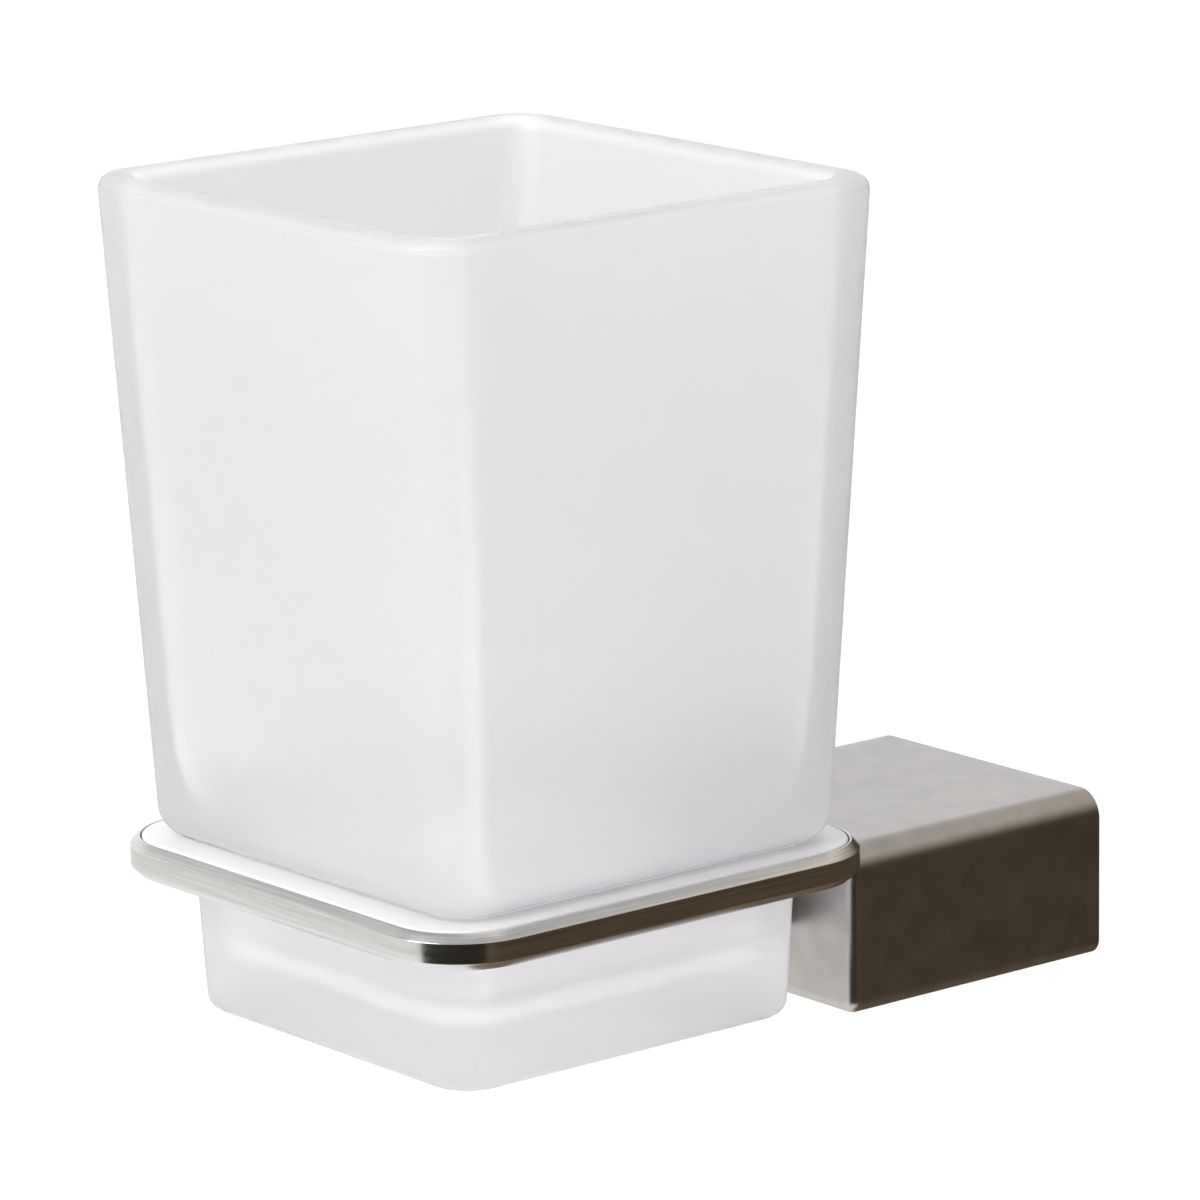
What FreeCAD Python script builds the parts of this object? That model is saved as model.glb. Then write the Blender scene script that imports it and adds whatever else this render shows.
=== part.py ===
"""Wall-hung bathroom tumbler: square frosted glass, lined metal ring, hollow wall post and its wall bracket.

Frame: millimetres, +Z up, the wall is the plane Y = 0 and the object stands out from it towards -Y.
The origin is the middle of the bracket's back face, on the wall.
"""
import FreeCAD, Part
import math
import os
import Sketcher

Vector = FreeCAD.Vector
Rotation = FreeCAD.Rotation
Placement = FreeCAD.Placement

SIZES = {
    # Post: hollow box, open at the wall
    "post_width": 42.0,
    "post_height": 21.0,
    "post_depth": 41.0,
    "post_wall": 2.5,
    "post_front_wall": 3.0,
    "post_top_radius": 3.4,
    "post_bottom_radius": 2.0,
    "post_edge_radius": 1.5,
    "post_inner_radius": 1.0,
    # Bracket: plate on the wall with a spigot for the post
    "bracket_plate": 3.0,
    "bracket_play": 0.8,
    "bracket_corner": 2.0,
    "spigot_width": 12.0,
    "spigot_height": 8.0,
    "spigot_length": 14.0,
    "wall_hole_spacing": 26.0,
    "wall_hole_diameter": 4.5,
    # Guide: channel under the post's roof that rides on the spigot
    "guide_wall": 2.0,
    "guide_gap": 0.15,
    "guide_seat_gap": 0.1,
    "guide_end_gap": 0.5,
    # Set screw under the post
    "set_screw_diameter": 4.0,
    "set_screw_length": 6.0,
    "set_screw_setback": 9.0,
    "set_screw_tip_gap": 0.05,
    "set_screw_key": 2.0,
    "set_screw_key_depth": 2.0,
    "boss_diameter": 8.0,
    "boss_gap": 1.5,
    "thread_gap": 0.03,
    # Ring: flat bar bent to a square, with a rebate for the liner
    "ring_outer": 68.0,
    "ring_bar": 5.0,
    "ring_height": 4.4,
    "ring_corner": 10.4,
    "ring_chamfer": 1.0,
    "ring_gap": 4.6,
    "ring_above_post": 0.35,
    "rebate_rim": 1.2,
    "rebate_depth": 0.9,
    # Lug: angle under the ring's rear bar that meets the post's front
    "lug_width": 16.0,
    "lug_top_drop": 1.5,
    "lug_height": 11.0,
    "lug_underlap": 4.0,
    "lug_sink": 0.6,
    # Screws and washers that hold the lug
    "screw_diameter": 4.0,
    "screw_length": 10.0,
    "screw_spacing": 9.0,
    "screw_drop": 7.0,
    "screw_head_diameter": 7.0,
    "screw_head_height": 2.4,
    "screw_key": 2.5,
    "screw_key_depth": 1.3,
    "screw_hole_gap": 0.2,
    "screw_tip_gap": 0.4,
    "washer_diameter": 7.4,
    "washer_thickness": 0.9,
    "washer_slit": 0.9,
    # Liner: flange in the rebate, skirt in the ring's opening
    "liner_flange": 1.0,
    "liner_wall": 1.0,
    "liner_fit": 0.2,
    "liner_tail": 0.6,
    "liner_edge_radius": 0.3,
    # Glass
    "foot_fit": 0.5,
    "foot_height": 21.55,
    "foot_draw": 0.95,
    "foot_corner": 5.9,
    "foot_edge_radius": 2.1,
    "shoulder_step": 2.9,
    "shoulder_radius": 4.0,
    "seat_gap": 0.1,
    "bowl_height": 80.1,
    "bowl_corner": 6.3,
    "rim_width": 68.0,
    "lip_radius": 1.7,
    "glass_wall": 4.2,
    "glass_base": 7.0,
    "throat_height": 14.0,
    "throat_drop": 2.0,
    "cavity_corner": 4.0,
    "floor_radius": 3.0,
}
THROAT_STEPS = 6

doc = FreeCAD.newDocument("tumbler_set")
sheet = doc.addObject("Spreadsheet::Sheet", "sizes")
for row, (alias, size) in enumerate(SIZES.items(), start=1):
    sheet.set(f"A{row}", alias)
    sheet.set(f"B{row}", str(size))
    sheet.setAlias(f"B{row}", alias)
doc.recompute()

# Lengths that follow from the sizes above, as expressions on the sheet
POST_TOP = "sizes.post_height / 2"
CAVITY_WIDTH = "(sizes.post_width - 2 * sizes.post_wall)"
CAVITY_HEIGHT = "(sizes.post_height - 2 * sizes.post_wall)"
CAVITY_DEPTH = "(sizes.post_depth - sizes.post_front_wall)"
GUIDE_INNER = "(sizes.spigot_width / 2 + sizes.guide_gap)"
RING_BOTTOM = f"({POST_TOP} + sizes.ring_above_post)"
RING_TOP = f"({RING_BOTTOM} + sizes.ring_height)"
RING_AXIS_Y = "(-sizes.post_depth - sizes.ring_gap - sizes.ring_outer / 2)"
RING_OPENING = "(sizes.ring_outer - 2 * sizes.ring_bar)"
OPENING_CORNER = "(sizes.ring_corner - sizes.ring_bar)"
LINER_INNER = f"({RING_OPENING} - 2 * sizes.liner_fit - 2 * sizes.liner_wall)"
SEAT_LEVEL = "(sizes.liner_flange - sizes.rebate_depth)"
FOOT_TOP = f"({LINER_INNER} - 2 * sizes.foot_fit)"
FOOT_BOTTOM = f"({FOOT_TOP} - 2 * sizes.foot_draw)"
SHOULDER = f"({FOOT_TOP} + 2 * sizes.shoulder_step)"
BOWL_SLOPE = f"((sizes.rim_width - {SHOULDER}) / 2 / sizes.bowl_height)"
ROUND_WIDTH = f"(sizes.shoulder_radius * tan(45 deg - atan({BOWL_SLOPE}) / 2))"
ROUND_REACH = f"max({ROUND_WIDTH} - sizes.shoulder_step + sizes.foot_fit; 0)"
ROUND_RISE = f"(sizes.shoulder_radius - sqrt(sizes.shoulder_radius ^ 2 - {ROUND_REACH} ^ 2))"
GLASS_LEVEL = f"({RING_TOP} + {SEAT_LEVEL} + sizes.seat_gap - {ROUND_RISE})"
SCREW_LEVEL = f"({POST_TOP} - sizes.screw_drop)"
HEAD_SEAT_Y = f"(-{CAVITY_DEPTH} + sizes.washer_thickness)"
SCREW_TIP_Y = f"({HEAD_SEAT_Y} - sizes.screw_length)"
SCREW_HOLE = "(sizes.screw_diameter + 2 * sizes.screw_hole_gap)"
SET_SCREW_TIP = "(-sizes.spigot_height / 2 - sizes.set_screw_tip_gap)"
SET_SCREW_END = f"({SET_SCREW_TIP} - sizes.set_screw_length)"


def value(expression):
    """Length of an expression on the sheet, as a plain number."""
    return float(sheet.evalExpression(expression))


def bind(item, **expressions):
    """Ties an object's properties to the sheet; a double underscore in a name stands for a dot."""
    for name, expression in expressions.items():
        item.setExpression(name.replace("__", "."), expression)


def new_body(label, **place):
    """Empty body under its node's name, with its place tied to the sheet."""
    body = doc.addObject("PartDesign::Body", label)
    body.Label = label
    bind(body, **{f"Placement__Base__{axis}": expression for axis, expression in place.items()})
    return body


def new_sketch(body, name, plane, offset="0"):
    """Sketch on one of the body's own origin planes, raised along the plane's normal."""
    sketch = body.newObject("Sketcher::SketchObject", name)
    planes = {feature.Role: feature for feature in body.Origin.OriginFeatures}
    sketch.AttachmentSupport = [(planes[plane], "")]
    sketch.MapMode = "FlatFace"
    bind(sketch, AttachmentOffset__Base__z=offset)
    return sketch


def hold(sketch, kind, places, expression, name):
    """One dimension of a sketch, tied to the sheet."""
    index = sketch.addConstraint(Sketcher.Constraint(kind, *places, value(expression)))
    sketch.renameConstraint(index, name)
    sketch.setExpression(f"Constraints.{name}", expression)


def rounded_rectangle(sketch, width, height, top_radius, bottom_radius):
    """Rectangle about the sketch's origin whose upper and lower corners are round."""
    half_w, half_h = value(width) / 2, value(height) / 2
    top, low = value(top_radius), value(bottom_radius)
    quarter = math.pi / 2
    corners = [
        (Vector(half_w - low, low - half_h, 0), low, -quarter),
        (Vector(half_w - top, half_h - top, 0), top, 0.0),
        (Vector(top - half_w, half_h - top, 0), top, quarter),
        (Vector(low - half_w, low - half_h, 0), low, 2 * quarter),
    ]
    arcs = [Part.ArcOfCircle(Part.Circle(centre, Vector(0, 0, 1), radius), start, start + quarter)
            for centre, radius, start in corners]
    for before, after in zip(arcs[-1:] + arcs[:-1], arcs):
        sketch.addGeometry(Part.LineSegment(before.EndPoint, after.StartPoint), False)
        sketch.addGeometry(after, False)
    bottom, right, upper, left = lines = (0, 2, 4, 6)
    for line, direction in zip(lines, ("Horizontal", "Vertical", "Horizontal", "Vertical")):
        arc = line + 1
        following = (line + 2) % 8
        sketch.addConstraint(Sketcher.Constraint("Tangent", line, 2, arc, 1))
        sketch.addConstraint(Sketcher.Constraint("Tangent", arc, 2, following, 1))
        sketch.addConstraint(Sketcher.Constraint(direction, line))
    hold(sketch, "DistanceY", (bottom, 1, -1, 1), f"{height} / 2", "below")
    hold(sketch, "DistanceX", (-1, 1, right, 1), f"{width} / 2", "right")
    hold(sketch, "DistanceY", (-1, 1, upper, 1), f"{height} / 2", "above")
    hold(sketch, "DistanceX", (left, 1, -1, 1), f"{width} / 2", "left")
    for line, radius in zip(lines, (bottom_radius, top_radius, top_radius, bottom_radius)):
        hold(sketch, "Radius", (line + 1,), radius, f"corner_{line // 2}")


def rounded_square(sketch, width, radius):
    """Square about the sketch's origin with four equal round corners."""
    rounded_rectangle(sketch, width, width, radius, radius)


def polygon(sketch, points):
    """Closed outline through points given as pairs of expressions."""
    spots = [Vector(value(x), value(y), 0) for x, y in points]
    for start, end in zip(spots, spots[1:] + spots[:1]):
        sketch.addGeometry(Part.LineSegment(start, end), False)
    for number, (x, y) in enumerate(points):
        before = (number - 1) % len(points)
        sketch.addConstraint(Sketcher.Constraint("Coincident", before, 2, number, 1))
        for kind, expression, axis in (("DistanceX", x, "x"), ("DistanceY", y, "y")):
            ahead = value(expression) >= 0
            ends = (-1, 1, number, 1) if ahead else (number, 1, -1, 1)
            hold(sketch, kind, ends, expression if ahead else f"-({expression})", f"{axis}_{number}")


def circle(sketch, x, y, diameter, tag):
    """Circle whose centre and diameter are tied to the sheet."""
    spot = Vector(value(x), value(y), 0)
    number = sketch.addGeometry(Part.Circle(spot, Vector(0, 0, 1), value(diameter) / 2), False)
    for kind, expression, axis in (("DistanceX", x, "x"), ("DistanceY", y, "y")):
        ahead = value(expression) >= 0
        ends = (-1, 1, number, 3) if ahead else (number, 3, -1, 1)
        hold(sketch, kind, ends, expression if ahead else f"-({expression})", f"{tag}_{axis}")
    hold(sketch, "Diameter", (number,), diameter, f"{tag}_size")


def grow(body, kind, name, sketch, length, reverse=False):
    """Pad or pocket of a sketch, checked to have changed the body's volume."""
    doc.recompute()
    before = 0.0 if body.Shape.isNull() else body.Shape.Volume
    feature = body.newObject(f"PartDesign::{kind}", name)
    feature.Profile = sketch
    feature.Reversed = reverse
    bind(feature, Length=length)
    doc.recompute()
    changed = body.Shape.Volume - before
    if (changed > 0) != (kind == "Pad") or abs(changed) < 1e-3:
        raise RuntimeError(f"{name} leaves the body as it was")
    return feature


def loft(body, kind, name, sections):
    """Straight-sided loft through two or more sketches."""
    feature = body.newObject(f"PartDesign::{kind}", name)
    feature.Profile = sections[0]
    feature.Sections = sections[1:]
    feature.Ruled = True
    doc.recompute()
    return feature


def break_edges(body, kind, name, base, wanted, **size):
    """Fillet or chamfer of the base's edges that the given test picks."""
    edges = [f"Edge{number}" for number, edge in enumerate(base.Shape.Edges, start=1) if wanted(edge)]
    feature = body.newObject(f"PartDesign::{kind}", name)
    feature.Base = (base, edges)
    bind(feature, **size)
    doc.recompute()
    return feature


def round_edges(body, name, base, radius, wanted):
    """Fillet of the base's edges that the given test picks."""
    return break_edges(body, "Fillet", name, base, wanted, Radius=radius)


def lies_at(edge, axis, place, slack=1e-4):
    """True for an edge whose box is flat at one place along an axis."""
    box = edge.BoundBox
    low, high = getattr(box, f"{axis}Min"), getattr(box, f"{axis}Max")
    return abs(low - place) < slack and abs(high - place) < slack


def cylinder(name, diameter, height, turn, **place):
    """Cylinder on the sheet's sizes; its axis is Z, turned by the given rotation."""
    item = doc.addObject("Part::Cylinder", name)
    item.Placement = Placement(Vector(), turn)
    bind(item, Radius=f"{diameter} / 2", Height=height)
    bind(item, **{f"Placement__Base__{axis}": expression for axis, expression in place.items()})
    return item


def hexagon_key(name, across, depth, turn, **place):
    """Hexagonal prism for a screw's key socket, sized across its flats."""
    item = doc.addObject("Part::Prism", name)
    item.Polygon = 6
    item.Placement = Placement(Vector(), turn)
    bind(item, Circumradius=f"{across} / sqrt(3)", Height=depth)
    bind(item, **{f"Placement__Base__{axis}": expression for axis, expression in place.items()})
    return item


def cut(name, base, tool):
    """Base with the tool taken out of it."""
    item = doc.addObject("Part::Cut", name)
    item.Base = base
    item.Tool = tool
    return item


def group(label, items):
    """Like pieces under one node, each still a solid of its own."""
    item = doc.addObject("Part::Compound", label)
    item.Links = items
    return item


def make_post_housing():
    """Cast box: round edges, cavity from the wall side, guide channel, set-screw boss, two front holes."""
    body = new_body("post_housing")
    outline = new_sketch(body, "post_outline", "XZ_Plane")
    rounded_rectangle(outline, "sizes.post_width", "sizes.post_height",
                      "sizes.post_top_radius", "sizes.post_bottom_radius")
    block = grow(body, "Pad", "post_block", outline, "sizes.post_depth")
    round_edges(body, "post_front_edges", block, "sizes.post_edge_radius",
                lambda edge: lies_at(edge, "Y", -value("sizes.post_depth")))
    hollow = new_sketch(body, "post_hollow", "XZ_Plane")
    rounded_rectangle(hollow, CAVITY_WIDTH, CAVITY_HEIGHT,
                      "sizes.post_inner_radius", "sizes.post_inner_radius")
    grow(body, "Pocket", "post_cavity", hollow, CAVITY_DEPTH, reverse=True)
    outer = f"({GUIDE_INNER} + sizes.guide_wall)"
    roof = f"({CAVITY_HEIGHT} / 2 + sizes.post_wall / 2)"
    seat = "(sizes.spigot_height / 2 + sizes.guide_seat_gap)"
    foot = "(-sizes.spigot_height / 2)"
    guide = new_sketch(body, "guide_outline", "XZ_Plane", "sizes.bracket_plate + sizes.guide_end_gap")
    polygon(guide, [(f"-{outer}", roof), (f"-{outer}", foot), (f"-{GUIDE_INNER}", foot),
                    (f"-{GUIDE_INNER}", seat), (GUIDE_INNER, seat),
                    (GUIDE_INNER, foot), (outer, foot), (outer, roof)])
    grow(body, "Pad", "guide_channel", guide, "sizes.spigot_length - 2 * sizes.guide_end_gap")
    floor = f"(-{CAVITY_HEIGHT} / 2)"
    boss = new_sketch(body, "boss_outline", "XY_Plane", f"{floor} - sizes.post_wall / 2")
    circle(boss, "0", "-sizes.set_screw_setback", "sizes.boss_diameter", "boss")
    grow(body, "Pad", "boss", boss,
         f"sizes.post_wall / 2 - {floor} - sizes.spigot_height / 2 - sizes.boss_gap")
    thread = new_sketch(body, "set_screw_thread", "XY_Plane", f"-{POST_TOP}")
    circle(thread, "0", "-sizes.set_screw_setback",
           "(sizes.set_screw_diameter + 2 * sizes.thread_gap)", "thread")
    grow(body, "Pocket", "set_screw_hole", thread, f"{POST_TOP} - sizes.spigot_height / 2", reverse=True)
    holes = new_sketch(body, "ring_screw_holes", "XZ_Plane", CAVITY_DEPTH)
    for tag, side in (("left", "-"), ("right", "")):
        circle(holes, f"{side}sizes.screw_spacing / 2", SCREW_LEVEL, SCREW_HOLE, tag)
    grow(body, "Pocket", "front_holes", holes, "sizes.post_front_wall", reverse=True)
    return body


def make_wall_bracket():
    """Plate that lies on the wall inside the post, with its spigot and two screw holes."""
    body = new_body("wall_bracket")
    plate = new_sketch(body, "plate_outline", "XZ_Plane")
    rounded_rectangle(plate, f"({CAVITY_WIDTH} - 2 * sizes.bracket_play)",
                      f"({CAVITY_HEIGHT} - 2 * sizes.bracket_play)",
                      "sizes.bracket_corner", "sizes.bracket_corner")
    grow(body, "Pad", "plate", plate, "sizes.bracket_plate")
    spigot = new_sketch(body, "spigot_outline", "XZ_Plane")
    half_w, half_h = "sizes.spigot_width / 2", "sizes.spigot_height / 2"
    polygon(spigot, [(f"-{half_w}", f"-{half_h}"), (half_w, f"-{half_h}"),
                     (half_w, half_h), (f"-{half_w}", half_h)])
    grow(body, "Pad", "spigot", spigot, "sizes.bracket_plate + sizes.spigot_length")
    holes = new_sketch(body, "wall_holes", "XZ_Plane")
    for tag, side in (("left", "-"), ("right", "")):
        circle(holes, f"{side}sizes.wall_hole_spacing / 2", "0", "sizes.wall_hole_diameter", tag)
    grow(body, "Pocket", "wall_screw_holes", holes, "sizes.bracket_plate", reverse=True)
    return body


def make_holder_ring():
    """Square ring with round corners and chamfered edges, a rebate for the liner, and a lug at the rear."""
    body = new_body("holder_ring", y=RING_AXIS_Y, z=RING_TOP)
    frame = new_sketch(body, "ring_outline", "XY_Plane", "-sizes.ring_height")
    rounded_square(frame, "sizes.ring_outer", "sizes.ring_corner")
    slab = grow(body, "Pad", "ring_slab", frame, "sizes.ring_height")
    break_edges(body, "Chamfer", "ring_edges", slab,
                lambda edge: lies_at(edge, "Z", 0) or lies_at(edge, "Z", -value("sizes.ring_height")),
                Size="sizes.ring_chamfer")
    opening = new_sketch(body, "ring_opening", "XY_Plane")
    rounded_square(opening, RING_OPENING, OPENING_CORNER)
    grow(body, "Pocket", "opening", opening, "sizes.ring_height")
    rebate = new_sketch(body, "rebate_outline", "XY_Plane")
    rounded_square(rebate, "(sizes.ring_outer - 2 * sizes.rebate_rim)",
                   "(sizes.ring_corner - sizes.rebate_rim)")
    grow(body, "Pocket", "rebate", rebate, "sizes.rebate_depth")
    post_face = "(sizes.ring_outer / 2 + sizes.ring_gap)"
    rear = "(sizes.ring_outer / 2 - sizes.ring_chamfer)"
    front = "(sizes.ring_outer / 2 - sizes.lug_underlap)"
    under_ring = "(sizes.lug_sink - sizes.ring_height)"
    ledge = f"({POST_TOP} - sizes.lug_top_drop - {RING_TOP})"
    base = f"({ledge} - sizes.lug_height)"
    lug = new_sketch(body, "lug_outline", "YZ_Plane", "-sizes.lug_width / 2")
    polygon(lug, [(front, base), (post_face, base), (post_face, ledge), (rear, ledge),
                  (rear, under_ring), (front, under_ring)])
    grow(body, "Pad", "lug", lug, "sizes.lug_width")
    threads = new_sketch(body, "lug_threads", "XZ_Plane", f"-{post_face}")
    for tag, side in (("left", "-"), ("right", "")):
        circle(threads, f"{side}sizes.screw_spacing / 2", f"{SCREW_LEVEL} - {RING_TOP}",
               "(sizes.screw_diameter + 2 * sizes.thread_gap)", tag)
    grow(body, "Pocket", "lug_screw_holes", threads,
         f"-sizes.post_depth - {SCREW_TIP_Y} + sizes.screw_tip_gap", reverse=True)
    return body


def make_ring_liner():
    """Plastic collar: flange in the ring's rebate and a thin skirt down through its opening."""
    body = new_body("ring_liner", y=RING_AXIS_Y, z=RING_TOP)
    inset = "(sizes.rebate_rim + sizes.liner_fit)"
    flange = new_sketch(body, "flange_outline", "XY_Plane", "-sizes.rebate_depth")
    rounded_square(flange, f"(sizes.ring_outer - 2 * {inset})", f"(sizes.ring_corner - {inset})")
    disc = grow(body, "Pad", "flange", flange, "sizes.liner_flange")
    round_edges(body, "flange_edge", disc, "sizes.liner_edge_radius",
                lambda edge: lies_at(edge, "Z", value(SEAT_LEVEL)))
    tail = "(-sizes.ring_height - sizes.liner_tail)"
    skirt = new_sketch(body, "skirt_outline", "XY_Plane", tail)
    rounded_square(skirt, f"({RING_OPENING} - 2 * sizes.liner_fit)", f"({OPENING_CORNER} - sizes.liner_fit)")
    grow(body, "Pad", "skirt", skirt, f"{SEAT_LEVEL} - sizes.liner_flange / 2 - {tail}")
    bore = new_sketch(body, "liner_bore", "XY_Plane", SEAT_LEVEL)
    rounded_square(bore, LINER_INNER, f"({OPENING_CORNER} - sizes.liner_fit - sizes.liner_wall)")
    grow(body, "Pocket", "bore", bore, f"{SEAT_LEVEL} - {tail}")
    return body


def make_glass_tumbler():
    """Square glass: tapered body with a round shoulder, narrower foot, and a cavity that follows both."""
    body = new_body("glass_tumbler", y=RING_AXIS_Y, z=GLASS_LEVEL)

    def section(name, width, corner, level):
        sketch = new_sketch(body, name, "XY_Plane", level)
        rounded_square(sketch, width, corner)
        return sketch

    bowl = body.newObject("PartDesign::AdditiveWedge", "bowl")
    bowl.Placement = Placement(Vector(), Rotation(Vector(1, 0, 0), 90))
    bind(bowl, Ymin="0", Ymax="sizes.bowl_height")
    for axis in ("X", "Z"):
        bind(bowl, **{f"{axis}min": f"-{SHOULDER} / 2", f"{axis}max": f"{SHOULDER} / 2"})
        bind(bowl, **{f"{axis}2min": "-sizes.rim_width / 2", f"{axis}2max": "sizes.rim_width / 2"})
    doc.recompute()
    sides = round_edges(body, "bowl_corners", bowl, "sizes.bowl_corner",
                        lambda edge: not lies_at(edge, "Z", edge.CenterOfMass.z))
    round_edges(body, "shoulder", sides, "sizes.shoulder_radius", lambda edge: lies_at(edge, "Z", 0))
    overlap = "sizes.shoulder_radius"
    stem = f"({FOOT_TOP} + 2 * sizes.foot_draw * {overlap} / sizes.foot_height)"
    foot = loft(body, "AdditiveLoft", "foot", [
        section("foot_bottom_line", FOOT_BOTTOM, "sizes.foot_corner", "-sizes.foot_height"),
        section("foot_top_line", stem, "sizes.foot_corner", overlap)])
    round_edges(body, "foot_edge", foot, "sizes.foot_edge_radius",
                lambda edge: lies_at(edge, "Z", -value("sizes.foot_height")))
    walls = "2 * sizes.glass_wall"
    floor = "(sizes.glass_base - sizes.foot_height)"
    throat = f"({SHOULDER} + 2 * {BOWL_SLOPE} * sizes.throat_height - {walls})"
    neck = f"({FOOT_TOP} - 2 * sizes.foot_draw * sizes.throat_drop / sizes.foot_height - {walls})"
    drawn = f"({FOOT_BOTTOM} + 2 * sizes.foot_draw * sizes.glass_base / sizes.foot_height - {walls})"
    corner = "sizes.cavity_corner"
    lines = [section("cavity_rim", f"(sizes.rim_width - {walls})", corner, "sizes.bowl_height")]
    for step in range(THROAT_STEPS + 1):
        down = step / THROAT_STEPS
        eased = (1 - math.cos(math.pi * down)) / 2
        width = f"({throat} + ({neck} - {throat}) * {eased})"
        level = f"(sizes.throat_height - (sizes.throat_height + sizes.throat_drop) * {down})"
        lines.append(section(f"cavity_throat_{step}", width, corner, level))
    lines.append(section("cavity_floor", drawn, corner, floor))
    hollow = loft(body, "SubtractiveLoft", "cavity", lines)
    floor_edges = round_edges(body, "cavity_floor_edge", hollow, "sizes.floor_radius",
                              lambda edge: lies_at(edge, "Z", value(floor)))
    round_edges(body, "lip", floor_edges, "sizes.lip_radius",
                lambda edge: lies_at(edge, "Z", value("sizes.bowl_height")))
    return body


def make_ring_screws():
    """Two button-head screws, heads inside the post, shanks through its front wall into the lug."""
    turn = Rotation(Vector(1, 0, 0), 90)
    screws = []
    for tag, side in (("left", "-"), ("right", "")):
        x = f"{side}sizes.screw_spacing / 2"
        shank = cylinder(f"screw_shank_{tag}", "sizes.screw_diameter", "sizes.screw_length", turn,
                         x=x, y=HEAD_SEAT_Y, z=SCREW_LEVEL)
        head = cylinder(f"screw_head_{tag}", "sizes.screw_head_diameter", "sizes.screw_head_height", turn,
                        x=x, y=f"{HEAD_SEAT_Y} + sizes.screw_head_height", z=SCREW_LEVEL)
        screw = doc.addObject("Part::Fuse", f"screw_blank_{tag}")
        screw.Base = head
        screw.Tool = shank
        key = hexagon_key(f"screw_key_{tag}", "sizes.screw_key", "sizes.screw_key_depth", turn,
                          x=x, y=f"{HEAD_SEAT_Y} + sizes.screw_head_height", z=SCREW_LEVEL)
        screws.append(cut(f"ring_screw_{tag}", screw, key))
    return group("ring_screws", screws)


def make_lock_washers():
    """Two split spring washers between the screw heads and the post's front wall."""
    turn = Rotation(Vector(1, 0, 0), 90)
    washers = []
    for tag, side in (("left", "-"), ("right", "")):
        x = f"{side}sizes.screw_spacing / 2"
        disc = cylinder(f"washer_disc_{tag}", "sizes.washer_diameter", "sizes.washer_thickness", turn,
                        x=x, y=HEAD_SEAT_Y, z=SCREW_LEVEL)
        hole = cylinder(f"washer_hole_{tag}", SCREW_HOLE, "sizes.washer_thickness", turn,
                        x=x, y=HEAD_SEAT_Y, z=SCREW_LEVEL)
        slit = doc.addObject("Part::Box", f"washer_slit_{tag}")
        bind(slit, Length="sizes.washer_slit", Width="sizes.washer_thickness", Height="sizes.washer_diameter",
             Placement__Base__x=f"{x} - sizes.washer_slit / 2",
             Placement__Base__y=f"{HEAD_SEAT_Y} - sizes.washer_thickness", Placement__Base__z=SCREW_LEVEL)
        washers.append(cut(f"lock_washer_{tag}", cut(f"washer_ring_{tag}", disc, hole), slit))
    return group("lock_washers", washers)


def make_set_screw():
    """Grub screw under the post: its tip bears on the spigot, its key socket faces down."""
    y = "-sizes.set_screw_setback"
    shank = cylinder("set_screw_shank", "sizes.set_screw_diameter", "sizes.set_screw_length", Rotation(),
                     y=y, z=SET_SCREW_END)
    key = hexagon_key("set_screw_socket", "sizes.set_screw_key", "sizes.set_screw_key_depth", Rotation(),
                      y=y, z=SET_SCREW_END)
    return cut("set_screw", shank, key)


NODES = [
    make_wall_bracket(),
    make_post_housing(),
    make_set_screw(),
    make_holder_ring(),
    make_ring_screws(),
    make_lock_washers(),
    make_ring_liner(),
    make_glass_tumbler(),
]
doc.recompute()

for item in doc.Objects:
    if {"Invalid", "Error"} & set(item.State):
        raise RuntimeError(f"{item.Label} failed: {item.State}")
for node in NODES:
    if node.Shape.isNull() or not node.Shape.isValid() or not node.Shape.Solids:
        raise RuntimeError(f"{node.Label} has no sound shape")

os.makedirs("parts", exist_ok=True)
for node in NODES:
    node.Shape.exportStep(f"parts/{node.Label}.step")
    print(f"{node.Label}: {len(node.Shape.Solids)} solid(s), {node.Shape.Volume / 1000:.2f} cm3")
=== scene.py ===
import math
import bpy
import numpy as np
from mathutils import Matrix, Vector


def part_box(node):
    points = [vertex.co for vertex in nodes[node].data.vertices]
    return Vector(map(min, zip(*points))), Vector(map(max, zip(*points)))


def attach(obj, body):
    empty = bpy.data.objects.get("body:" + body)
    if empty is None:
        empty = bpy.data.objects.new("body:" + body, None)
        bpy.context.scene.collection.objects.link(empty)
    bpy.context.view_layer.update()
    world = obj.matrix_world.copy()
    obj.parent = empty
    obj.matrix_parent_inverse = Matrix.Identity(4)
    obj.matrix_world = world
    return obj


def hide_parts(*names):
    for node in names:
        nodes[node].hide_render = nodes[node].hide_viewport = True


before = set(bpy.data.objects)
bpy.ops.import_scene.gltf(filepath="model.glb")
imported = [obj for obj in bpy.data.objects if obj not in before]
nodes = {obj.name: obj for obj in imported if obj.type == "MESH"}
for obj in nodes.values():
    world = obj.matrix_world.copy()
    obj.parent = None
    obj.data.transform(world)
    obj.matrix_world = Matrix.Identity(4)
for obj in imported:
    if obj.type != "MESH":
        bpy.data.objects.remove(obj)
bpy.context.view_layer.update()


# Wall bracket: a plate with a stub, screwed to the wall inside the post.
# Steel with a dull bluish zinc plate, whose crystals show as faint spangles.

def plain_finish(name, colour, roughness, metallic=0.0):
    """A new material, its tree and its shader, which holds the plain values that a grain then varies."""
    finish = bpy.data.materials.new(name)
    finish.use_nodes = True
    shader = finish.node_tree.nodes["Principled BSDF"]
    shader.inputs["Base Color"].default_value = (*colour, 1.0)
    shader.inputs["Roughness"].default_value = roughness
    shader.inputs["Metallic"].default_value = metallic
    return finish, finish.node_tree, shader


def add(tree, kind, **settings):
    """One node in a tree, with its inputs set by socket name and its other properties by their names."""
    node = tree.nodes.new(kind)
    for key, setting in settings.items():
        if key in node.inputs:
            node.inputs[key].default_value = setting
        else:
            setattr(node, key, setting)
    return node


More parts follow.
